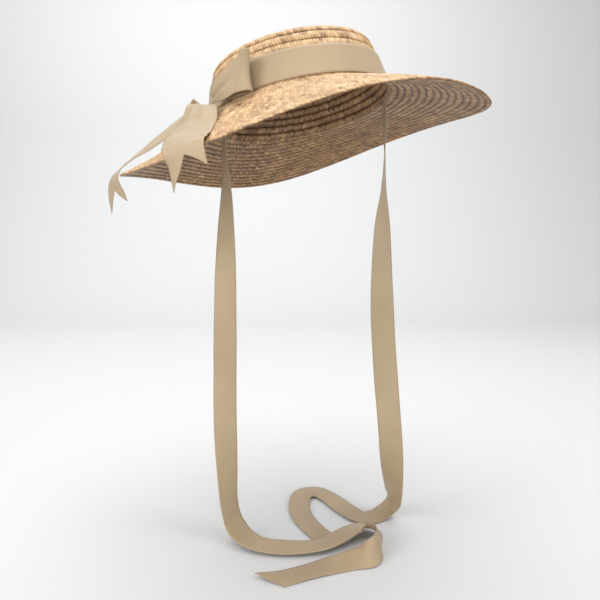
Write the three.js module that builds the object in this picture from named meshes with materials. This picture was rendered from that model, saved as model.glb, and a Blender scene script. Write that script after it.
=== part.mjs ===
// A low-crowned straw boater with a wide sloping brim, a ribbon band with a side bow, and two long ribbon ties.
// Millimetres, +Z up. The origin is the centre of the head opening, where the crown meets the brim.
// The hat sits tilted on a head that is not part of it; the ties hang straight down and end on the surface below.
import * as THREE from "three";

const DEG = Math.PI / 180;

// Driving dimensions
const HAT_ROLL = 9.45; // degrees, lifts the +X side
const HAT_PITCH = -2.57; // degrees, dips the far side
const HEAD_YAW = 15; // degrees, turn of the head oval's long axis
const STRAW = 2; // wall of the braided straw
const GAP = 0.3; // clearance between touching pieces

const CROWN = { baseX: 90, baseY: 104.8, topX: 77.9, topY: 90.7, height: 47.9, edgeRadius: 7 };
const BRIM = { reachX: 182.1, reachY: 171.2, shiftX: 5, shiftY: -0.7, skew: 0.049, drop: 34 };
const BRIM_WAVES = [
  { turns: 1, cos: 10.8, sin: 4.8 },
  { turns: 2, cos: 2.7, sin: -0.4 },
  { turns: 3, cos: -7.4, sin: 4 },
];
const BRIM_SAG = { mean: 0.02, side: 0.33 }; // bulge of the slope: hollow on the +X side, domed on the -X side
const BAND = { low: 0.8, high: 28, thick: 0.9, standOff: 0.4 };
const RIBBON = 0.9; // thickness of the bow's ribbon
const TIE = { width: 25, thick: 0.8 };

// Fineness of the faceted solids
const CROWN_FACETS = 72;
const BRIM_FACETS = 90;
const BRIM_STEPS = 6;
const EDGE_STEPS = 4;

// Straight runs have few sections: a row for each bend. x, y, z is the middle of the ribbon, and
// ax, ay, az points across it, from its left edge to its right edge; w is its width where it is gathered.
const BOW_TAIL_NEAR = [
  { x: -86, y: -60, z: 4, ax: 0.55, ay: -0.66, az: -0.4, w: 21 },
  { x: -87, y: -72, z: 0.5, ax: 0.6, ay: -0.68, az: -0.36, w: 26 },
  { x: -87, y: -86, z: -8.5, ax: 0.62, ay: -0.7, az: -0.36, w: 33 },
  { x: -88, y: -101, z: -19.5, ax: 0.62, ay: -0.7, az: -0.34, w: 36 },
  { x: -90.5, y: -125, z: -32.5, ax: 0.66, ay: -0.68, az: -0.3, w: 36 },
  { x: -92.5, y: -148, z: -43.5, ax: 0.76, ay: -0.58, az: -0.22, w: 36 },
  { x: -92, y: -163, z: -54, ax: 0.84, ay: -0.5, az: -0.12, w: 36 },
  { x: -91, y: -166, z: -68, ax: 0.86, ay: -0.5, az: 0, w: 36 },
  { x: -91, y: -164, z: -84, ax: 0.86, ay: -0.5, az: 0.04, w: 36 },
];
const BOW_TAIL_FAR = [
  { x: -93, y: -46, z: 9, ax: 0.2, ay: -0.85, az: -0.45, w: 22 },
  { x: -102, y: -44, z: 4, ax: 0.2, ay: -0.88, az: -0.4, w: 32 },
  { x: -117, y: -42, z: -4, ax: 0.2, ay: -0.88, az: -0.44, w: 36 },
  { x: -145, y: -41, z: -18, ax: 0.28, ay: -0.88, az: -0.34, w: 36 },
  { x: -164, y: -41, z: -27.5, ax: 0.29, ay: -0.93, az: -0.2, w: 36 },
  { x: -177.5, y: -41, z: -36.3, ax: 0.35, ay: -0.92, az: -0.15, w: 36 },
  { x: -184, y: -39, z: -46, ax: 0.55, ay: -0.82, az: -0.12, w: 36 },
  { x: -186, y: -36, z: -58, ax: 0.66, ay: -0.75, az: 0, w: 36 },
  { x: -186, y: -33, z: -74, ax: 0.7, ay: -0.71, az: 0.06, w: 36 },
];
const BOW_LOOP_NEAR = [
  { x: -74, y: -67, z: 9, ax: 0.2, ay: -0.36, az: -0.9, w: 17 },
  { x: -68, y: -74, z: 9, ax: 0.22, ay: -0.3, az: -0.93, w: 22 },
  { x: -58, y: -87, z: 12, ax: 0.02, ay: -0.2, az: -0.98, w: 28 },
  { x: -48, y: -97.5, z: 14, ax: -0.12, ay: -0.14, az: -0.98, w: 32 },
  { x: -41, y: -101, z: 14, ax: -0.14, ay: -0.12, az: -0.98, w: 32 },
  { x: -37, y: -99, z: 14, ax: -0.14, ay: -0.12, az: -0.98, w: 32 },
  { x: -40, y: -95, z: 14, ax: -0.14, ay: -0.12, az: -0.98, w: 32 },
  { x: -49, y: -89.5, z: 14, ax: -0.1, ay: -0.14, az: -0.98, w: 31 },
  { x: -60, y: -80.5, z: 12, ax: -0.06, ay: -0.16, az: -0.98, w: 26 },
  { x: -71, y: -68, z: 8, ax: 0.2, ay: -0.26, az: -0.94, w: 17 },
];
const BOW_LOOP_FAR = [
  { x: -94, y: -34, z: 16, ax: 0.66, ay: 0.2, az: -0.72, w: 10 },
  { x: -99, y: -24, z: 13, ax: 0.78, ay: 0.1, az: -0.6, w: 13 },
  { x: -102, y: -6, z: 11, ax: 0.86, ay: 0.04, az: -0.5, w: 16 },
  { x: -103, y: 8, z: 8.5, ax: 0.9, ay: -0.08, az: -0.42, w: 16 },
  { x: -103, y: 11, z: 5.5, ax: 0.9, ay: -0.08, az: -0.42, w: 16 },
  { x: -104, y: 6, z: 3.5, ax: 0.9, ay: 0, az: -0.42, w: 16 },
  { x: -103, y: -8, z: 4.5, ax: 0.86, ay: 0.04, az: -0.5, w: 14 },
  { x: -100, y: -22, z: 7.5, ax: 0.78, ay: 0.1, az: -0.6, w: 10 },
];
// The ties' rows are in the part's own frame, not the tilted hat's.
const TIE_LEFT = [
  { x: -80.5, y: 12, z: 4, ax: 0.05, ay: -1, az: 0 },
  { x: -78.5, y: 13, z: -20, ax: 0.2, ay: -0.98, az: 0 },
  { x: -76, y: 14, z: -70, ax: 0.5, ay: -0.87, az: 0 },
  { x: -77, y: 14, z: -120, ax: 0.76, ay: -0.65, az: 0 },
  { x: -78.5, y: 13, z: -190, ax: 0.97, ay: -0.22, az: 0 },
  { x: -79.5, y: 11, z: -260, ax: 1, ay: 0, az: 0 },
  { x: -80, y: 9, z: -320, ax: 1, ay: 0.08, az: 0 },
  { x: -78, y: 6, z: -380, ax: 0.8, ay: 0.6, az: 0 },
  { x: -76, y: 4, z: -416, ax: 0.6, ay: 0.78, az: 0.1 },
  { x: -71, y: 1, z: -436, ax: 0.55, ay: 0.8, az: 0.2 },
  { x: -62, y: -9, z: -444, ax: 0.5, ay: 0.84, az: 0.15 },
  { x: -49, y: -20, z: -447, ax: 0.35, ay: 0.92, az: 0.1 },
  { x: -30, y: -27, z: -448, ax: 0.12, ay: 0.98, az: 0.05 },
  { x: 2, y: -29, z: -448, ax: 0, ay: 1, az: 0 },
  { x: 25, y: -24, z: -447.5, ax: -0.2, ay: 0.97, az: 0 },
  { x: 43, y: -13, z: -446, ax: -0.35, ay: 0.92, az: -0.05 },
  { x: 58, y: 0, z: -445, ax: -0.4, ay: 0.88, az: -0.15 },
  { x: 70, y: 6, z: -444.5, ax: -0.1, ay: 0.97, az: -0.2 },
  { x: 80, y: 0, z: -444, ax: 0.3, ay: 0.85, az: -0.42 },
  { x: 85, y: -20, z: -440.5, ax: 0.25, ay: 0.2, az: -0.95 },
  { x: 82.5, y: -39, z: -441, ax: 0.25, ay: -0.3, az: -0.9 },
  { x: 72, y: -49, z: -444.5, ax: 0.1, ay: -0.75, az: -0.6 },
  { x: 57, y: -50, z: -448.5, ax: -0.1, ay: -0.95, az: -0.3 },
  { x: 32, y: -57, z: -451, ax: 0.2, ay: -0.97, az: -0.1 },
  { x: 6, y: -67, z: -452, ax: 0.25, ay: -0.97, az: 0 },
  { x: -16, y: -77, z: -452, ax: 0.3, ay: -0.95, az: 0 },
  { x: -38, y: -86, z: -449.5, ax: 0.3, ay: -0.93, az: -0.1 },
];
const TIE_RIGHT = [
  { x: 84, y: -16, z: 8, ax: 0.05, ay: 1, az: 0 },
  { x: 85, y: -18, z: -25, ax: 0.05, ay: 1, az: 0 },
  { x: 85, y: -19, z: -75, ax: 0.3, ay: 0.95, az: 0 },
  { x: 84, y: -19, z: -118, ax: 0.75, ay: 0.66, az: 0 },
  { x: 85, y: -18, z: -190, ax: 0.95, ay: 0.3, az: 0 },
  { x: 89, y: -15, z: -250, ax: 1, ay: 0.1, az: 0 },
  { x: 97, y: -9, z: -330, ax: 1, ay: 0, az: 0 },
  { x: 101.5, y: 2, z: -372, ax: 0.92, ay: -0.38, az: 0 },
  { x: 105, y: 16, z: -396, ax: 0.8, ay: -0.6, az: -0.05 },
  { x: 108.5, y: 32, z: -418, ax: 0.62, ay: -0.78, az: -0.08 },
  { x: 110, y: 46, z: -434, ax: 0.4, ay: -0.9, az: -0.12 },
  { x: 106, y: 53, z: -445.5, ax: 0.1, ay: -0.97, az: -0.2 },
  { x: 94.5, y: 44, z: -450, ax: -0.1, ay: -0.98, az: -0.1 },
  { x: 75, y: 37.5, z: -450.3, ax: -0.12, ay: -0.99, az: -0.04 },
  { x: 55, y: 60, z: -450.3, ax: -0.45, ay: -0.89, az: 0 },
  { x: 37, y: 90, z: -450.3, ax: -0.5, ay: -0.86, az: 0 },
  { x: 22, y: 103, z: -450, ax: -0.1, ay: -0.99, az: -0.05 },
  { x: 6, y: 96, z: -449.5, ax: 0.6, ay: -0.75, az: -0.05 },
  { x: 0.5, y: 68, z: -450.5, ax: 0.95, ay: -0.1, az: 0 },
  { x: 5, y: 40, z: -451.5, ax: 0.93, ay: 0.3, az: 0 },
  { x: 18, y: 12, z: -452, ax: 0.92, ay: 0.38, az: 0 },
  { x: 36, y: -15, z: -452.3, ax: 0.93, ay: 0.36, az: 0 },
];

// An oval around the head, turned by the head's yaw; azimuth in radians from +X.
function ovalPoint(azimuth, halfX, halfY, height) {
  const yaw = HEAD_YAW * DEG;
  const x = halfX * Math.cos(azimuth - yaw);
  const y = halfY * Math.sin(azimuth - yaw);
  return new THREE.Vector3(
    x * Math.cos(yaw) - y * Math.sin(yaw),
    x * Math.sin(yaw) + y * Math.cos(yaw),
    height,
  );
}

// A point on the crown's outer side wall, moved outward by standOff.
function crownPoint(azimuth, height, standOff) {
  const t = height / CROWN.height;
  const halfX = THREE.MathUtils.lerp(CROWN.baseX, CROWN.topX, t);
  const halfY = THREE.MathUtils.lerp(CROWN.baseY, CROWN.topY, t);
  return ovalPoint(azimuth, halfX + standOff, halfY + standOff, height);
}

// A point on the brim's edge.
function rimPoint(azimuth) {
  const stretch = 1 + BRIM.skew * Math.sin(2 * azimuth);
  const wave = BRIM_WAVES.reduce(
    (sum, w) => sum + w.cos * Math.cos(w.turns * azimuth) + w.sin * Math.sin(w.turns * azimuth),
    0,
  );
  return new THREE.Vector3(
    BRIM.shiftX + BRIM.reachX * stretch * Math.cos(azimuth),
    BRIM.shiftY + BRIM.reachY * stretch * Math.sin(azimuth),
    wave - BRIM.drop,
  );
}

// A point on the brim's upper surface: out runs from 0 at the crown to 1 at the edge.
function brimPoint(azimuth, out, below) {
  const foot = crownPoint(azimuth, 0, 0);
  const edge = rimPoint(azimuth);
  const sag = BRIM_SAG.mean - BRIM_SAG.side * Math.cos(azimuth);
  const point = foot.lerp(edge, out);
  point.z = edge.z * (out + sag * out * (1 - out)) - GAP - below;
  return point;
}

// Joins closed rings of equal length into one skin. Wrapped, the last ring joins the first; otherwise flat caps end it.
function skinRings(rings, wrapped) {
  const size = rings[0].length;
  const points = rings.flat();
  const faces = [];
  const spans = wrapped ? rings.length : rings.length - 1;
  for (let i = 0; i < spans; i++) {
    const here = i * size;
    const next = ((i + 1) % rings.length) * size;
    for (let j = 0; j < size; j++) {
      const k = (j + 1) % size;
      faces.push(here + j, next + j, next + k, here + j, next + k, here + k);
    }
  }
  if (!wrapped) {
    const last = (rings.length - 1) * size;
    for (let j = 1; j < size - 1; j++) {
      faces.push(0, j, j + 1);
      faces.push(last, last + j + 1, last + j);
    }
  }
  return closedGeometry(points, faces);
}

// Builds the geometry with its faces turned outward.
function closedGeometry(points, faces) {
  let volume = 0;
  for (let f = 0; f < faces.length; f += 3) {
    const [a, b, c] = [points[faces[f]], points[faces[f + 1]], points[faces[f + 2]]];
    volume += a.dot(new THREE.Vector3().crossVectors(b, c));
  }
  const outward = volume < 0 ? faces.slice().reverse() : faces;
  const geometry = new THREE.BufferGeometry().setFromPoints(points);
  geometry.setIndex(outward);
  geometry.computeVertexNormals();
  return geometry;
}

function azimuths(count) {
  return Array.from({ length: count }, (_, i) => (i / count) * 2 * Math.PI);
}

// The crown: out over the flat top, down the side, in under the wall and back up to the inner flat.
function crownGeometry() {
  const r = CROWN.edgeRadius;
  const levels = [];
  for (let i = 0; i <= EDGE_STEPS; i++) {
    const turn = (i / EDGE_STEPS) * (Math.PI / 2);
    levels.push({ height: CROWN.height - r * (1 - Math.cos(turn)), inset: r * (1 - Math.sin(turn)) });
  }
  levels.push({ height: CROWN.height / 2, inset: 0 });
  levels.push({ height: 0, inset: 0 });
  const outer = levels.map((l) => ({ ...l, wall: 0 }));
  const inner = levels
    .map((l) => ({ height: Math.max(l.height - STRAW, 0), inset: l.inset, wall: STRAW }))
    .reverse();
  const rings = [...outer, ...inner].map((l) =>
    azimuths(CROWN_FACETS).map((a) => crownPoint(a, l.height, -l.inset - l.wall)),
  );
  return skinRings(rings, false);
}

// The brim: one closed section swept round the head.
function brimGeometry() {
  const outs = Array.from({ length: BRIM_STEPS + 1 }, (_, i) => i / BRIM_STEPS);
  const rings = azimuths(BRIM_FACETS).map((a) => {
    const lip = crownPoint(a, 0, -STRAW);
    const upper = outs.map((out) => brimPoint(a, out, 0));
    const lower = outs.map((out) => brimPoint(a, out, STRAW)).reverse();
    const lipLow = lip.clone().setZ(-GAP - STRAW);
    return [lip.setZ(-GAP), ...upper, ...lower, lipLow];
  });
  return skinRings(rings, true);
}

function bandGeometry() {
  const rings = azimuths(CROWN_FACETS).map((a) => [
    crownPoint(a, BAND.low, BAND.standOff),
    crownPoint(a, BAND.low, BAND.standOff + BAND.thick),
    crownPoint(a, BAND.high, BAND.standOff + BAND.thick),
    crownPoint(a, BAND.high, BAND.standOff),
  ]);
  return skinRings(rings, true);
}

// A ribbon along a table's rows. end trims the left edge, the middle and the right edge short, for a cut end.
function ribbonGeometry(rows, { thick, width, step, end = { left: 0, middle: 0, right: 0 } }) {
  const middle = new THREE.CatmullRomCurve3(
    rows.map((r) => new THREE.Vector3(r.x, r.y, r.z)),
    false,
    "centripetal",
  );
  const rowAt = (t) => {
    const place = t * (rows.length - 1);
    const i = Math.min(Math.floor(place), rows.length - 2);
    return { i, mix: place - i };
  };
  const across = (t, tangent) => {
    const { i, mix } = rowAt(t);
    const smooth = mix * mix * (3 - 2 * mix);
    const from = new THREE.Vector3(rows[i].ax, rows[i].ay, rows[i].az).normalize();
    const to = new THREE.Vector3(rows[i + 1].ax, rows[i + 1].ay, rows[i + 1].az).normalize();
    const side = from.lerp(to, smooth);
    return side.addScaledVector(tangent, -side.dot(tangent)).normalize();
  };
  const widthAt = (t) => {
    const { i, mix } = rowAt(t);
    return width ?? THREE.MathUtils.lerp(rows[i].w, rows[i + 1].w, mix);
  };
  const length = middle.getLength();
  const stretch = Math.min(60, length / 3); // the length over which a cut end is drawn
  const count = Math.round(length / step);
  middle.arcLengthDivisions = 40 * rows.length;
  middle.updateArcLengths();
  const rings = [];
  for (let n = 0; n <= count; n++) {
    const along = (n / count) * length;
    const late = Math.max(0, (along - length + stretch) / stretch);
    const columns = [
      { side: -0.5, trim: end.left },
      { side: 0, trim: end.middle },
      { side: 0.5, trim: end.right },
    ].map(({ side, trim }) => {
      const t = middle.getUtoTmapping((along - trim * late) / length);
      const point = middle.getPoint(t);
      const tangent = middle.getTangent(t);
      const edge = across(t, tangent);
      const normal = new THREE.Vector3().crossVectors(edge, tangent).multiplyScalar(thick / 2);
      point.addScaledVector(edge, side * widthAt(t));
      return [point.clone().add(normal), point.clone().sub(normal)];
    });
    rings.push([
      ...columns.map((c) => c[0]),
      ...columns.map((c) => c[1]).reverse(),
    ]);
  }
  return skinRibbon(rings);
}

// A ribbon's six-cornered sections, closed at both ends by two quads that follow a notched cut.
function skinRibbon(rings) {
  const size = 6;
  const points = rings.flat();
  const faces = [];
  for (let i = 0; i < rings.length - 1; i++) {
    for (let j = 0; j < size; j++) {
      const k = (j + 1) % size;
      const [a, b, c, d] = [i * size + j, (i + 1) * size + j, (i + 1) * size + k, i * size + k];
      faces.push(a, b, c, a, c, d);
    }
  }
  const last = (rings.length - 1) * size;
  const cap = [0, 1, 4, 0, 4, 5, 1, 2, 3, 1, 3, 4];
  faces.push(...cap);
  for (let f = 0; f < cap.length; f += 3) {
    faces.push(last + cap[f], last + cap[f + 2], last + cap[f + 1]);
  }
  return closedGeometry(points, faces);
}

const strawMaterial = new THREE.MeshStandardMaterial({ color: 0xc9a683, roughness: 0.75, metalness: 0 });
const bandMaterial = new THREE.MeshStandardMaterial({ color: 0xcfbfa3, roughness: 0.6, metalness: 0 });
const tieMaterial = new THREE.MeshStandardMaterial({ color: 0xb7a389, roughness: 0.6, metalness: 0 });

function piece(name, geometry, material) {
  const mesh = new THREE.Mesh(geometry, material);
  mesh.name = name;
  return mesh;
}

const bowRibbon = { thick: RIBBON, step: 6 };
const tieRibbon = { thick: TIE.thick, width: TIE.width, step: 8 };

// The hat and what is sewn on it, tilted together
const hat = new THREE.Group();
hat.rotation.set(HAT_PITCH * DEG, -HAT_ROLL * DEG, 0, "YXZ");
hat.add(
  piece("crown", crownGeometry(), strawMaterial),
  piece("brim", brimGeometry(), strawMaterial),
  piece("hat_band", bandGeometry(), bandMaterial),
  piece("bow_loop_near", ribbonGeometry(BOW_LOOP_NEAR, { ...bowRibbon, step: 3 }), bandMaterial),
  piece("bow_loop_far", ribbonGeometry(BOW_LOOP_FAR, { ...bowRibbon, step: 3 }), bandMaterial),
  piece(
    "bow_tail_near",
    ribbonGeometry(BOW_TAIL_NEAR, { ...bowRibbon, end: { left: 0, middle: 26, right: 14 } }),
    tieMaterial,
  ),
  piece(
    "bow_tail_far",
    ribbonGeometry(BOW_TAIL_FAR, { ...bowRibbon, end: { left: 0, middle: 22, right: 10 } }),
    tieMaterial,
  ),
);

const model = new THREE.Group();
model.add(
  hat,
  piece("tie_left", ribbonGeometry(TIE_LEFT, { ...tieRibbon, end: { left: 0, middle: 11, right: 22 } }), tieMaterial),
  piece("tie_right", ribbonGeometry(TIE_RIGHT, { ...tieRibbon, end: { left: 4, middle: 0, right: 0 } }), tieMaterial),
);

export default model;
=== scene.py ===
"""Straw boater hat with a ribbon band, a side bow and two long ties.

Straw rows are made as plaited strips, ribbons as thin woven sheets. Sizes are in millimetres until a mesh is made.
"""
import math

import bpy
import numpy as np
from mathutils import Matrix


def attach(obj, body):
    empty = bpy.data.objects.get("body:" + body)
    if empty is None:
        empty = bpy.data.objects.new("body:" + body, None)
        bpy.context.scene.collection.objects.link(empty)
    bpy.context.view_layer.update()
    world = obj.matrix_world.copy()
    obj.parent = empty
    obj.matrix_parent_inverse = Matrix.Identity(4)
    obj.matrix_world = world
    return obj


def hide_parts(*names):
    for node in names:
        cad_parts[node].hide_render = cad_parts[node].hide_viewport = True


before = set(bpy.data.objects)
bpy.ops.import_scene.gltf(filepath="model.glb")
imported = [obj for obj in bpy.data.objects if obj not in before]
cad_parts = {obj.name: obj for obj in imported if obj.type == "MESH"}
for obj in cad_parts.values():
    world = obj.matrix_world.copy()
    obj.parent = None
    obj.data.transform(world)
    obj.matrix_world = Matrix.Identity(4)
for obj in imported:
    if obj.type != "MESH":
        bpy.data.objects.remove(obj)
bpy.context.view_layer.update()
rng = np.random.default_rng(7)
MM = 0.001
TURN = 2 * math.pi

# ---------------------------------------------------------------- driving dimensions, as in the CAD model
HAT_ROLL = math.radians(9.45)
HAT_PITCH = math.radians(-2.57)
HEAD_YAW = math.radians(15)
CROWN_BASE = np.array([90, 104.8])
CROWN_TOP = np.array([77.9, 90.7])
CROWN_HEIGHT = 47.9
CROWN_EDGE = 7
BRIM_REACH = np.array([182.1, 171.2])
BRIM_SHIFT = np.array([5, -0.7])
BRIM_SKEW = 0.049
BRIM_DROP = 34
BRIM_WAVES = ((1, 10.8, 4.8), (2, 2.7, -0.4), (3, -7.4, 4))  # turns, cosine, sine
BRIM_SAG_MEAN = 0.02
BRIM_SAG_SIDE = 0.33
STRAW = 2
BAND_LOW = 0.8
BAND_HIGH = 28
BAND_STANDOFF = 1.0
TIE_WIDTH = 25
FLOOR_Z = -453.6


# ---------------------------------------------------------------- the hat's surfaces
def oval(azimuth, half_x, half_y, height):
    x = half_x * np.cos(azimuth - HEAD_YAW)
    y = half_y * np.sin(azimuth - HEAD_YAW)
    c, s = math.cos(HEAD_YAW), math.sin(HEAD_YAW)
    return np.stack([x * c - y * s, x * s + y * c, height + 0 * x], -1)


def crown_side(azimuth, height, stand_off):
    t = height / CROWN_HEIGHT
    half = [CROWN_BASE[i] + (CROWN_TOP[i] - CROWN_BASE[i]) * t + stand_off for i in (0, 1)]
    return oval(azimuth, half[0], half[1], height)


SIDE_RUN = CROWN_HEIGHT - CROWN_EDGE
EDGE_RUN = CROWN_EDGE * math.pi / 2
TOP_RUN = float(np.mean(CROWN_TOP)) - CROWN_EDGE
CROWN_RUN = SIDE_RUN + EDGE_RUN + TOP_RUN


def crown_skin(azimuth, run):
    """The crown's outer surface: run goes up the side, over the edge and in to the middle of the top."""
    side = crown_side(azimuth, np.clip(run, -9, SIDE_RUN), 0)
    turn = np.clip((run - SIDE_RUN) / CROWN_EDGE, 0, math.pi / 2)
    height = SIDE_RUN + CROWN_EDGE * np.sin(turn)
    edge = crown_side(azimuth, height, -CROWN_EDGE * (1 - np.cos(turn)))
    share = 1 - np.clip((run - SIDE_RUN - EDGE_RUN) / TOP_RUN, 0, 1)
    top = oval(azimuth, (CROWN_TOP[0] - CROWN_EDGE) * share, (CROWN_TOP[1] - CROWN_EDGE) * share, CROWN_HEIGHT)
    on_side = (run < SIDE_RUN)[..., None]
    on_edge = (run < SIDE_RUN + EDGE_RUN)[..., None]
    return np.where(on_side, side, np.where(on_edge, edge, top))


def rim(azimuth):
    stretch = 1 + BRIM_SKEW * np.sin(2 * azimuth)
    z = -BRIM_DROP + sum(c * np.cos(n * azimuth) + s * np.sin(n * azimuth) for n, c, s in BRIM_WAVES)
    x = BRIM_SHIFT[0] + BRIM_REACH[0] * stretch * np.cos(azimuth)
    y = BRIM_SHIFT[1] + BRIM_REACH[1] * stretch * np.sin(azimuth)
    return np.stack([x, y, z], -1)


def brim_skin(azimuth, out):
    """The brim's upper surface: out is 0 at the crown and 1 at the edge."""
    edge = rim(azimuth)
    point = crown_side(azimuth, 0 * azimuth, 0) * (1 - out[..., None]) + edge * out[..., None]
    sag = BRIM_SAG_MEAN - BRIM_SAG_SIDE * np.cos(azimuth)
    point[..., 2] = edge[..., 2] * (out + sag * out * (1 - out)) - 0.3
    return point


def tilt(points):
    """From the hat's own frame to the part's frame, in which the hat leans."""
    cp, sp = math.cos(HAT_PITCH), math.sin(HAT_PITCH)
    cr, sr = math.cos(HAT_ROLL), math.sin(HAT_ROLL)
    rot_x = np.array([[1, 0, 0], [0, cp, -sp], [0, sp, cp]])
    rot_y = np.array([[cr, 0, -sr], [0, 1, 0], [sr, 0, cr]])
    return points @ (rot_y @ rot_x).T


# ---------------------------------------------------------------- meshes
def make_object(name, points, faces, uv=None, tone_and_shade=None, smooth=True):
    mesh = bpy.data.meshes.new(name)
    mesh.from_pydata([tuple(p) for p in (points * MM).tolist()], [], faces.tolist())
    mesh.polygons.foreach_set("use_smooth", np.full(len(mesh.polygons), smooth))
    corners = np.empty(len(mesh.loops), dtype=np.int32)
    mesh.loops.foreach_get("vertex_index", corners)
    if uv is not None:
        layer = mesh.uv_layers.new(name="UVMap")
        layer.data.foreach_set("uv", uv.reshape(len(corners), 2).ravel())
    if tone_and_shade is not None:
        layer = mesh.attributes.new("tone_and_shade", "FLOAT", "POINT")
        layer.data.foreach_set("value", tone_and_shade)
    mesh.validate()
    mesh.update()
    obj = bpy.data.objects.new(name, mesh)
    bpy.context.scene.collection.objects.link(obj)
    return obj


# ---------------------------------------------------------------- plaited straw
CELL = 3.0  # length of one splint's crossing along a row
SPLINT = np.array([0.0, 0.8, 1.0, 0.6])  # height over a splint's width, from one groove to the next
CELL_STEPS = len(SPLINT)
SECTION = 10  # corners round a row's section
ROW_THICK = 1.7
SPLINT_RELIEF = 0.42
GROOVE_SHADE = 0.2  # painted shade: how much darker the grooves are made, between splints and between rows
# painted shade: how much darker the row edges are made where rows meet, on the top and, more widely, on the underside
TOP_EDGE_SHADE = 0.2
UNDER_EDGE_SHADE = 0.44
# painted shade: the row faces on the underside get a darker base tone than the lit top faces
LIT_TOP_TONE = 0.62
SHADED_UNDER_TONE = 0.43


def straw_row(skin, place, pitch, lean, around, slant, scallop=0.05, up=1):
    """One row of braid: a flat lens in section, covered with slanted splints that meet in chevrons."""
    cells = max(5, int(round(around / CELL)))
    count = cells * CELL_STEPS
    I, J = np.meshgrid(np.arange(count), np.arange(SECTION), indexing="ij")
    T = J / SECTION * TURN
    across = np.cos(T)
    upward = np.sin(T)
    cell, step = I // CELL_STEPS, I % CELL_STEPS
    azimuth = (I / CELL_STEPS + slant * np.abs(across) + 0.5 * (across < 0)) / cells * TURN
    azimuth = azimuth + place * 0.7
    swell = rng.normal(0, 1, (4, cells))
    shade = rng.normal(0, 1, (4, cells))
    face = (across > 0.01) * 1 + (upward < 0) * 2
    relief = SPLINT[step] * (1 + 0.22 * swell[face, cell])
    height = upward * (ROW_THICK / 2 + SPLINT_RELIEF * relief * np.abs(upward)) + lean * across
    wander = 0.25 * np.sin(azimuth * 5 + place) + 0.2 * np.sin(azimuth * 13 + 2 * place)
    reach = (0.505 + scallop * (SPLINT[step] - 0.5)) * pitch
    run = place + wander * 0.5 + across * reach
    base = skin(azimuth, run)
    along = skin(azimuth + 0.004, run) - skin(azimuth - 0.004, run)
    over = skin(azimuth, run + 0.4) - skin(azimuth, run - 0.4)
    normal = up * np.cross(along, over)
    normal /= np.linalg.norm(normal, axis=-1, keepdims=True) + 1e-9
    points = base + normal * (height - ROW_THICK * 0.5)[..., None]
    top = upward > -0.01
    # painted shade: underside faces start darker than top faces; the random splint term is the straw's own tone
    shaded_tones = np.where(top, LIT_TOP_TONE, SHADED_UNDER_TONE) + 0.11 * shade[face, cell]
    # painted shade: darker in the grooves between splints and darkest towards the row edges, on top and underside
    shaded_tones = shaded_tones - GROOVE_SHADE * (1 - SPLINT[step]) - np.where(top, TOP_EDGE_SHADE * across**6, UNDER_EDGE_SHADE * np.abs(across) ** 2.5)
    return points.reshape(-1, 3), np.clip(shaded_tones, 0, 1).ravel(), count


def straw_rows(name, skin, rows, up=1):
    """Joins rows of braid in one mesh. Each row is a place on the surface, a pitch, a lean and a length."""
    all_points, all_faces, all_uv, all_shaded_tones = [], [], [], []
    start = 0
    for row in rows:
        points, shaded_tones, count = straw_row(skin, *row, up=up)
        i, j = np.meshgrid(np.arange(count), np.arange(SECTION), indexing="ij")
        ni, nj = (i + 1) % count, (j + 1) % SECTION
        quad = np.stack([i * SECTION + j, ni * SECTION + j, ni * SECTION + nj, i * SECTION + nj], -1)
        u = np.stack([i, i + 1, i + 1, i], -1) / CELL_STEPS
        v = np.stack([j, j, j + 1, j + 1], -1) / SECTION
        all_faces.append(quad.reshape(-1, 4)[:, ::up] + start)
        all_uv.append(np.stack([u.reshape(-1, 4), v.reshape(-1, 4)], -1)[:, ::up])
        all_points.append(points)
        all_shaded_tones.append(shaded_tones)
        start += len(points)
    points = tilt(np.concatenate(all_points))
    return make_object(
        name, points, np.concatenate(all_faces), np.concatenate(all_uv), np.concatenate(all_shaded_tones)
    )


def ring_length(skin, place):
    azimuth = np.linspace(0, TURN, 181)
    line = skin(azimuth, np.full(181, float(place)))
    return float(np.linalg.norm(np.diff(line, axis=0), axis=1).sum())


def plan_rows(skin, first, last, count, lean, slant):
    pitch = (last - first) / count
    places = first + (np.arange(count) + 0.5) * pitch
    return [(p, pitch, lean, ring_length(skin, p), slant) for p in places]


BRIM_SCALE = 86  # millimetres for one unit of the brim's out


def brim_run(azimuth, run):
    return brim_skin(azimuth, np.clip(run, -4, 200) / BRIM_SCALE)


BRIM_ROWS = 13
RIM_ROW = 4.2  # width of the rope-like row at the edge
brim_plan = plan_rows(brim_run, 0.2, BRIM_SCALE - RIM_ROW, BRIM_ROWS, 0.12, 0.75)
rim_place = BRIM_SCALE - RIM_ROW / 2
brim_plan.append((rim_place, RIM_ROW, 0.0, ring_length(brim_run, rim_place) * 0.8, 0.9, 0.16))
crown_plan = plan_rows(crown_skin, -2.0, CROWN_RUN - 0.6, 18, -0.15, 0.4)
brim_inner = straw_rows("brim_braid_inner", brim_run, brim_plan[:7], up=-1)
brim_outer = straw_rows("brim_braid_outer", brim_run, brim_plan[7:], up=-1)
crown_braid = straw_rows("crown_braid", crown_skin, crown_plan)


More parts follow.
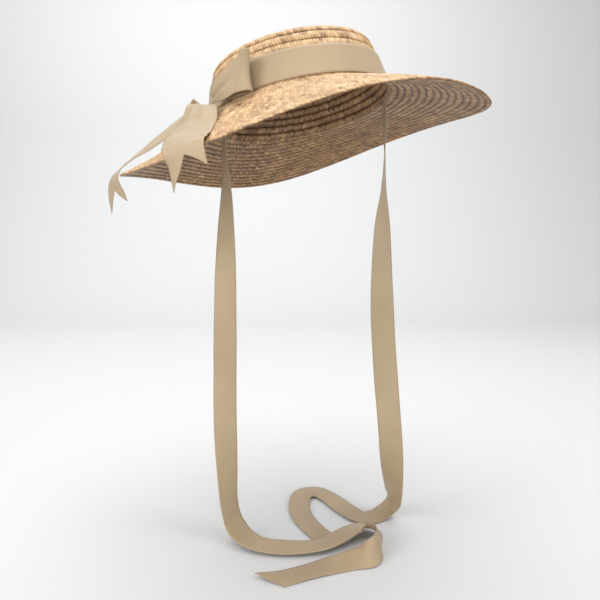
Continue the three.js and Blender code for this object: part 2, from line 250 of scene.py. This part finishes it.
# ---------------------------------------------------------------- ribbons
def spline(rows):
    """A centripetal Catmull-Rom curve through rows of numbers, and its length along x, y, z."""
    pts = np.vstack([2 * rows[0] - rows[1], rows, 2 * rows[-1] - rows[-2]])
    fine = []
    for i in range(1, len(pts) - 2):
        p0, p1, p2, p3 = pts[i - 1 : i + 3]
        d0, d1, d2 = [max(np.linalg.norm((b - a)[:3]), 1e-4) ** 0.5 for a, b in ((p0, p1), (p1, p2), (p2, p3))]
        m1 = ((p1 - p0) / d0 - (p2 - p0) / (d0 + d1) + (p2 - p1) / d1) * d1
        m2 = ((p2 - p1) / d1 - (p3 - p1) / (d1 + d2) + (p3 - p2) / d2) * d1
        t = np.linspace(0, 1, 41)[:, None][: 41 if i == len(pts) - 3 else 40]
        fine.append(
            p1 + m1 * t + (-3 * p1 + 3 * p2 - 2 * m1 - m2) * t**2 + (2 * p1 - 2 * p2 + m1 + m2) * t**3
        )
    fine = np.vstack(fine)
    run = np.concatenate([[0], np.cumsum(np.linalg.norm(np.diff(fine[:, :3], axis=0), axis=1))])
    return fine, run


def sample(fine, run, at):
    return np.stack([np.interp(at, run, fine[:, k]) for k in range(fine.shape[1])], -1)


def ribbon(name, rows, width=None, step=1.6, across=12, thick=0.45, trim=(0, 0, 0), curl=0.0, ripple=0.0, creases=(), leaning=True):
    """A woven strip along rows of (x, y, z, across x, y, z, width). trim cuts the left, middle and right short."""
    rows = np.array(rows, float)
    rows[:, 3:6] /= np.linalg.norm(rows[:, 3:6], axis=1, keepdims=True)
    if rows.shape[1] == 6:
        rows = np.hstack([rows, np.full((len(rows), 1), float(width))])
    fine, run = spline(rows)
    length = run[-1]
    count = int(length / step) + 1
    along = np.linspace(0, length, count)
    side = np.linspace(-0.5, 0.5, across + 1)
    stretch = min(60, length / 3)
    cut = np.interp(side, [-0.5, 0, 0.5], trim)
    late = np.clip((along - length + stretch) / stretch, 0, 1)
    A = along[:, None] - cut[None, :] * late[:, None]
    data = sample(fine, run, A.ravel()).reshape(count, across + 1, 7)
    ahead = sample(fine, run, np.clip(A.ravel() + 0.5, 0, length))[:, :3]
    behind = sample(fine, run, np.clip(A.ravel() - 0.5, 0, length))[:, :3]
    tangent = (ahead - behind).reshape(count, across + 1, 3)
    tangent /= np.linalg.norm(tangent, axis=-1, keepdims=True) + 1e-9
    edge = data[..., 3:6]
    edge = edge - tangent * (edge * tangent).sum(-1, keepdims=True)
    edge /= np.linalg.norm(edge, axis=-1, keepdims=True) + 1e-9
    normal = np.cross(edge, tangent)
    U = np.broadcast_to(side, A.shape)
    bow = curl * (U**2 * 4 - 0.4) * data[..., 6] / 25
    bow = bow + ripple * np.sin(A / 17 + 1.3 * np.sin(A / 41)) * np.sin(U * 4)
    for begin, finish, side_begin, side_finish, reach, depth in creases:
        part = np.clip((A - begin) / (finish - begin), 0, 1)
        place = side_begin + (side_finish - side_begin) * part
        bow = bow + depth * np.sin(math.pi * part) * np.exp(-(((U - place) / reach) ** 2))
    middle = data[..., :3] + edge * (U * data[..., 6])[..., None] + normal * bow[..., None]
    half = thick / 2 * np.where(np.abs(U) > 0.46, 1.25, 1.0)
    upper = middle + normal * half[..., None]
    lower = middle - normal * half[..., None]
    n = across + 1
    points = np.concatenate([upper.reshape(-1, 3), lower.reshape(-1, 3)])
    i, j = np.meshgrid(np.arange(count - 1), np.arange(across), indexing="ij")
    a, b, c, d = i * n + j, (i + 1) * n + j, (i + 1) * n + j + 1, i * n + j + 1
    top = np.stack([a, d, c, b], -1).reshape(-1, 4)
    low = top[:, ::-1] + count * n
    K = count * n
    k = np.arange(count - 1)
    left = np.stack([k * n, (k + 1) * n, (k + 1) * n + K, k * n + K], -1)
    right = np.stack([k * n + across, k * n + across + K, (k + 1) * n + across + K, (k + 1) * n + across], -1)
    m = np.arange(across)
    head = np.stack([m, m + K, m + 1 + K, m + 1], -1)
    e = (count - 1) * n
    tail = np.stack([e + m, e + m + 1, e + m + 1 + K, e + m + K], -1)
    faces = np.concatenate([top, low, left, right, head, tail])
    flat_uv = np.stack([A.ravel(), (U * data[..., 6]).ravel()], -1)
    flat_uv = np.concatenate([flat_uv, flat_uv])
    if leaning:
        points = tilt(points)
    obj = make_object(name, points, faces, flat_uv[faces])
    return obj, length, float(data[..., 6].mean())


BOW_TAIL_NEAR = [
    (-86, -60, 4, 0.55, -0.66, -0.4, 21),
    (-87, -72, 0.5, 0.6, -0.68, -0.36, 26),
    (-87, -86, -8.5, 0.62, -0.7, -0.36, 33),
    (-88, -101, -19.5, 0.62, -0.7, -0.34, 36),
    (-90.5, -125, -32.5, 0.66, -0.68, -0.3, 36),
    (-92.5, -148, -43.5, 0.76, -0.58, -0.22, 36),
    (-92, -163, -54, 0.84, -0.5, -0.12, 36),
    (-91, -166, -68, 0.86, -0.5, 0, 36),
    (-91, -164, -84, 0.86, -0.5, 0.04, 36),
]
BOW_TAIL_FAR = [
    (-93, -46, 9, 0.2, -0.85, -0.45, 22),
    (-102, -44, 4, 0.2, -0.88, -0.4, 32),
    (-117, -42, -4, 0.2, -0.88, -0.44, 36),
    (-145, -41, -18, 0.28, -0.88, -0.34, 36),
    (-164, -41, -27.5, 0.29, -0.93, -0.2, 36),
    (-177.5, -41, -36.3, 0.35, -0.92, -0.15, 36),
    (-184, -39, -46, 0.55, -0.82, -0.12, 36),
    (-186, -36, -58, 0.66, -0.75, 0, 36),
    (-186, -33, -74, 0.7, -0.71, 0.06, 36),
]
BOW_LOOP_NEAR = [
    (-76, -67, 9.5, 0.2, -0.36, -0.9, 14),
    (-70.5, -76.5, 10, 0.2, -0.4, -0.9, 19),
    (-60, -89, 11, 0.05, -0.42, -0.9, 29),
    (-49, -98, 13.5, -0.08, -0.34, -0.93, 34),
    (-42, -102, 14, -0.12, -0.24, -0.96, 36),
    (-38, -99, 14.5, -0.14, -0.1, -0.98, 36),
    (-40, -94.5, 14.5, -0.14, -0.06, -0.98, 34),
    (-49, -89, 13.5, -0.1, -0.1, -0.98, 32),
    (-61, -80.5, 11.5, -0.06, -0.16, -0.98, 25),
    (-70.5, -66.5, 9.5, 0.2, -0.3, -0.93, 12),
]
BOW_LOOP_FAR = [
    (-94, -34, 16, 0.66, 0.2, -0.72, 10),
    (-99, -24, 13, 0.78, 0.1, -0.6, 13),
    (-102, -6, 11, 0.86, 0.04, -0.5, 16),
    (-103, 8, 8.5, 0.9, -0.08, -0.42, 16),
    (-103, 11, 5.5, 0.9, -0.08, -0.42, 16),
    (-104, 6, 3.5, 0.9, 0, -0.42, 16),
    (-103, -8, 4.5, 0.86, 0.04, -0.5, 14),
    (-100, -22, 7.5, 0.78, 0.1, -0.6, 10),
]
TIE_LEFT = [
    (-80.5, 12, 4, 0.05, -1, 0),
    (-78.5, 13, -20, 0.2, -0.98, 0),
    (-76, 14, -70, 0.5, -0.87, 0),
    (-77, 14, -120, 0.76, -0.65, 0),
    (-78.5, 13, -190, 0.97, -0.22, 0),
    (-79.5, 11, -260, 1, 0, 0),
    (-80, 9, -320, 1, 0.08, 0),
    (-78, 6, -380, 0.8, 0.6, 0),
    (-76, 4, -416, 0.6, 0.78, 0.1),
    (-71, 1, -436, 0.55, 0.8, 0.2),
    (-62, -9, -444, 0.5, 0.84, 0.15),
    (-49, -20, -447, 0.35, 0.92, 0.1),
    (-30, -27, -448, 0.12, 0.98, 0.05),
    (2, -29, -448, 0, 1, 0),
    (25, -24, -447.5, -0.2, 0.97, 0),
    (43, -13, -446, -0.35, 0.92, -0.05),
    (58, 0, -445, -0.4, 0.88, -0.15),
    (70, 6, -444.5, -0.1, 0.97, -0.2),
    (80, 0, -444, 0.3, 0.85, -0.42),
    (85, -20, -440.5, 0.25, 0.2, -0.95),
    (82.5, -39, -441, 0.25, -0.3, -0.9),
    (72, -49, -444.5, 0.1, -0.75, -0.6),
    (57, -50, -448.5, -0.1, -0.95, -0.3),
    (32, -57, -451, 0.2, -0.97, -0.1),
    (6, -67, -452, 0.25, -0.97, 0),
    (-16, -77, -452, 0.3, -0.95, 0),
    (-38, -86, -449.5, 0.3, -0.93, -0.1),
]
TIE_RIGHT = [
    (84, -16, 8, 0.05, 1, 0),
    (85, -18, -25, 0.05, 1, 0),
    (85, -19, -75, 0.3, 0.95, 0),
    (84, -19, -118, 0.75, 0.66, 0),
    (85, -18, -190, 0.95, 0.3, 0),
    (89, -15, -250, 1, 0.1, 0),
    (97, -9, -330, 1, 0, 0),
    (101.5, 2, -372, 0.92, -0.38, 0),
    (105, 16, -396, 0.8, -0.6, -0.05),
    (108.5, 32, -418, 0.62, -0.78, -0.08),
    (110, 46, -434, 0.4, -0.9, -0.12),
    (106, 53, -445.5, 0.1, -0.97, -0.2),
    (94.5, 44, -450, -0.1, -0.98, -0.1),
    (75, 37.5, -450.3, -0.12, -0.99, -0.04),
    (55, 60, -450.3, -0.45, -0.89, 0),
    (37, 90, -450.3, -0.5, -0.86, 0),
    (22, 103, -450, -0.1, -0.99, -0.05),
    (6, 96, -449.5, 0.6, -0.75, -0.05),
    (0.5, 68, -450.5, 0.95, -0.1, 0),
    (5, 40, -451.5, 0.93, 0.3, 0),
    (18, 12, -452, 0.92, 0.38, 0),
    (36, -15, -452.3, 0.93, 0.36, 0),
]
tail_near = ribbon(
    "bow_tail_near_ribbon",
    BOW_TAIL_NEAR,
    step=1.0,
    across=20,
    trim=(0, 26, 14),
    curl=0.8,
    creases=[(-18, 70, -0.1, -0.3, 0.1, -1.6), (-12, 60, 0.2, 0.12, 0.12, -1.2), (40, 110, 0.1, 0.3, 0.2, 1.2)],
)
tail_far = ribbon("bow_tail_far_ribbon", BOW_TAIL_FAR, trim=(0, 22, 10), curl=0.8)
loop_near = ribbon(
    "bow_loop_near_ribbon",
    BOW_LOOP_NEAR,
    step=0.8,
    across=20,
    creases=[(-14, 54, 0.3, -0.32, 0.11, -2.6), (-10, 46, 0.02, 0.3, 0.16, 1.2)],
)
loop_far = ribbon("bow_loop_far_ribbon", BOW_LOOP_FAR, step=1.0)
tie_left = ribbon("tie_left_ribbon", TIE_LEFT, TIE_WIDTH, trim=(0, 11, 22), curl=0.5, ripple=0.5, leaning=False)
tie_right = ribbon("tie_right_ribbon", TIE_RIGHT, TIE_WIDTH, trim=(4, 2, 0), curl=0.5, ripple=0.5, leaning=False)


def band_rows():
    """Rows for the band: round the crown once, from its join under the bow."""
    azimuth = np.radians(205) + np.linspace(0, TURN * 1.008, 140)
    middle = (BAND_LOW + BAND_HIGH) / 2
    lap = np.linspace(0, 0.7, 140)
    centre = crown_side(azimuth, middle + 0 * azimuth, BAND_STANDOFF + lap)
    low = crown_side(azimuth, BAND_LOW + 0 * azimuth, BAND_STANDOFF + lap)
    high = crown_side(azimuth, BAND_HIGH + 0 * azimuth, BAND_STANDOFF + lap)
    return np.hstack([centre, low - high])


BAND_WIDTH = float(np.linalg.norm(crown_side(np.zeros(1), np.array([BAND_HIGH]), 0) - crown_side(np.zeros(1), np.array([BAND_LOW]), 0)))
band = ribbon("hat_band_ribbon", band_rows(), BAND_WIDTH, curl=0.25)


# ---------------------------------------------------------------- materials
def new_material(name):
    mat = bpy.data.materials.new(name)
    mat.use_nodes = True
    nodes = mat.node_tree.nodes
    return mat, nodes, mat.node_tree.links, nodes["Principled BSDF"]


def node(nodes, kind, **values):
    made = nodes.new(kind)
    for key, value in values.items():
        if key in made.inputs:
            made.inputs[key].default_value = value
        else:
            setattr(made, key, value)
    return made


def colour_ramp(nodes, stops):
    ramp = nodes.new("ShaderNodeValToRGB")
    while len(ramp.color_ramp.elements) < len(stops):
        ramp.color_ramp.elements.new(0.5)
    for element, (place, colour) in zip(ramp.color_ramp.elements, stops):
        element.position = place
        element.color = (*colour, 1)
    return ramp


def straw_material(name, stops):
    mat, nodes, links, bsdf = new_material(name)
    # the per-vertex attribute read here holds the straw's random tone together with painted shade in grooves, at row
    # edges and on the underside
    tone_and_shade = node(nodes, "ShaderNodeAttribute", attribute_name="tone_and_shade")
    coords = nodes.new("ShaderNodeTexCoord")
    cloud = node(nodes, "ShaderNodeTexNoise", Scale=55.0, Detail=3.0)
    fibre_map = node(nodes, "ShaderNodeMapping", Scale=(0.9, 26.0, 1.0))
    fibre = node(nodes, "ShaderNodeTexNoise", Scale=3.0, Detail=3.0, Roughness=0.6)
    mix = node(nodes, "ShaderNodeMath", operation="MULTIPLY_ADD")
    mix.inputs[1].default_value = 0.35
    shift = node(nodes, "ShaderNodeMath", operation="SUBTRACT")
    shift.inputs[1].default_value = 0.175
    ramp = colour_ramp(nodes, stops)
    bump = node(nodes, "ShaderNodeBump", Strength=0.5, Distance=0.0004)
    links.new(coords.outputs["Object"], cloud.inputs["Vector"])
    links.new(coords.outputs["UV"], fibre_map.inputs["Vector"])
    links.new(fibre_map.outputs["Vector"], fibre.inputs["Vector"])
    links.new(cloud.outputs["Fac"], mix.inputs[0])
    links.new(tone_and_shade.outputs["Fac"], mix.inputs[2])
    links.new(mix.outputs[0], shift.inputs[0])
    links.new(shift.outputs[0], ramp.inputs["Fac"])
    links.new(ramp.outputs["Color"], bsdf.inputs["Base Color"])
    links.new(fibre.outputs["Fac"], bump.inputs["Height"])
    links.new(bump.outputs["Normal"], bsdf.inputs["Normal"])
    bsdf.inputs["Roughness"].default_value = 0.42
    bsdf.inputs["Specular IOR Level"].default_value = 0.55
    return mat


def ribbon_material(name, dark, light):
    mat, nodes, links, bsdf = new_material(name)
    coords = nodes.new("ShaderNodeTexCoord")
    ribs = node(nodes, "ShaderNodeTexWave", Scale=1.0, Distortion=0.4, Detail=1.0)
    ribs.bands_direction = "X"
    rib_map = node(nodes, "ShaderNodeMapping", Scale=(0.35, 0.02, 1.0))
    cloud = node(nodes, "ShaderNodeTexNoise", Scale=18.0, Detail=2.0)
    ramp = colour_ramp(nodes, [(0.3, dark), (0.7, light)])
    bump = node(nodes, "ShaderNodeBump", Strength=0.35, Distance=0.0003)
    links.new(coords.outputs["UV"], rib_map.inputs["Vector"])
    links.new(rib_map.outputs["Vector"], ribs.inputs["Vector"])
    links.new(coords.outputs["Object"], cloud.inputs["Vector"])
    links.new(cloud.outputs["Fac"], ramp.inputs["Fac"])
    links.new(ramp.outputs["Color"], bsdf.inputs["Base Color"])
    links.new(ribs.outputs["Fac"], bump.inputs["Height"])
    links.new(bump.outputs["Normal"], bsdf.inputs["Normal"])
    bsdf.inputs["Roughness"].default_value = 0.4
    bsdf.inputs["Specular IOR Level"].default_value = 0.35
    bsdf.inputs["Sheen Weight"].default_value = 0.08
    bsdf.inputs["Sheen Roughness"].default_value = 0.4
    return mat


def plain_material(name, colour, roughness):
    mat, nodes, links, bsdf = new_material(name)
    bsdf.inputs["Base Color"].default_value = (*colour, 1)
    bsdf.inputs["Roughness"].default_value = roughness
    return mat


# the darkest ramp colours are reached where painted shade lowers the per-vertex value
straw_mat = straw_material(
    "straw",
    [(0.0, (0.065, 0.03, 0.011)), (0.3, (0.25, 0.132, 0.052)), (0.6, (0.51, 0.32, 0.155)), (0.95, (0.74, 0.53, 0.31))],
)
ribbon_mat = ribbon_material("ribbon", (0.315, 0.232, 0.14), (0.36, 0.268, 0.165))
for piece in (brim_inner, brim_outer, crown_braid):
    piece.data.materials.append(straw_mat)
for made in (tail_near, tail_far, loop_near, loop_far, tie_left, tie_right, band):
    made[0].data.materials.append(ribbon_mat)

# ---------------------------------------------------------------- what each piece stands for
for piece in (brim_inner, brim_outer):
    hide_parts("brim")
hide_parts("crown")
for piece in (brim_inner, brim_outer, crown_braid):
    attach(piece, "root")
RIBBONS = (
    (band, "hat_band", "stretched", ["crown_braid"]),
    (loop_near, "bow_loop_near", "folded", ["hat_band_ribbon"]),
    (loop_far, "bow_loop_far", "folded", ["brim_braid_inner"]),
    (tail_near, "bow_tail_near", "hung", ["brim_braid_outer"]),
    (tail_far, "bow_tail_far", "hung", ["brim_braid_outer"]),
    (tie_left, "tie_left", "hung", ["crown_braid"]),
    (tie_right, "tie_right", "hung", ["crown_braid"]),
)
for (piece, length, width), cad_node, held, rests_on in RIBBONS:
    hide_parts(cad_node)
    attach(piece, "root")

# ---------------------------------------------------------------- floor, backdrop, lights and camera
floor_mat = plain_material("floor", (0.57, 0.573, 0.575), 0.7)
BACK_Y, BACK_R, WIDE = 1.5, 0.9, 9.0
arc = [(BACK_Y + BACK_R * math.sin(t), FLOOR_Z * MM + BACK_R * (1 - math.cos(t))) for t in np.linspace(0, math.pi / 2, 17)]
line = [(-3.0, FLOOR_Z * MM)] + arc + [(BACK_Y + BACK_R, 4.0)]
verts = np.array([(x, y, z) for y, z in line for x in (-WIDE, WIDE)]) / MM
quads = np.array([(2 * i, 2 * i + 1, 2 * i + 3, 2 * i + 2) for i in range(len(line) - 1)])
floor = make_object("floor", verts, quads)
floor.data.materials.append(floor_mat)


def area_light(name, place, target, size, power, colour=(1, 1, 1)):
    data = bpy.data.lights.new(name, "AREA")
    data.shape = "RECTANGLE"
    data.size, data.size_y = size
    data.energy = power
    data.color = colour
    light = bpy.data.objects.new(name, data)
    light.location = place
    aim = np.array(target, float) - np.array(place, float)
    from mathutils import Vector

    light.rotation_euler = Vector(aim).to_track_quat("-Z", "Y").to_euler()
    bpy.context.scene.collection.objects.link(light)


area_light("top_box", (0.0, -0.1, 1.5), (0, 0, -0.1), (1.6, 1.6), 28, (1.0, 0.985, 0.96))
area_light("left_box", (-1.5, -0.9, 0.5), (0, 0, -0.15), (1.0, 1.4), 20, (1.0, 0.985, 0.96))
area_light("right_box", (1.6, -0.5, 0.6), (0, 0, -0.15), (1.0, 1.4), 13)
area_light("back_wash", (-0.5, 1.0, 1.5), (-0.5, 2.4, 0.1), (2.4, 0.8), 25)
area_light("front_low", (0.1, -1.9, -0.2), (0, 0, -0.33), (2.2, 0.6), 20)

world = bpy.data.worlds.new("studio")
world.use_nodes = True
world.node_tree.nodes["Background"].inputs["Color"].default_value = (0.97, 0.985, 1.0, 1)
world.node_tree.nodes["Background"].inputs["Strength"].default_value = 0.6
bpy.context.scene.world = world
bpy.context.scene.view_settings.view_transform = "Standard"

CAMERA_PLACE = (0.00157, -0.5822, -0.1229)
CAMERA_PITCH = 0.116263  # radians, downward
CAMERA_LENS = 33.6
camera_data = bpy.data.cameras.new("camera")
camera_data.lens = CAMERA_LENS
camera_data.sensor_width = 36
camera_data.clip_start = 0.01
camera = bpy.data.objects.new("camera", camera_data)
camera.location = CAMERA_PLACE
camera.rotation_euler = (math.pi / 2 - CAMERA_PITCH, 0, 0)
bpy.context.scene.collection.objects.link(camera)
bpy.context.scene.camera = camera
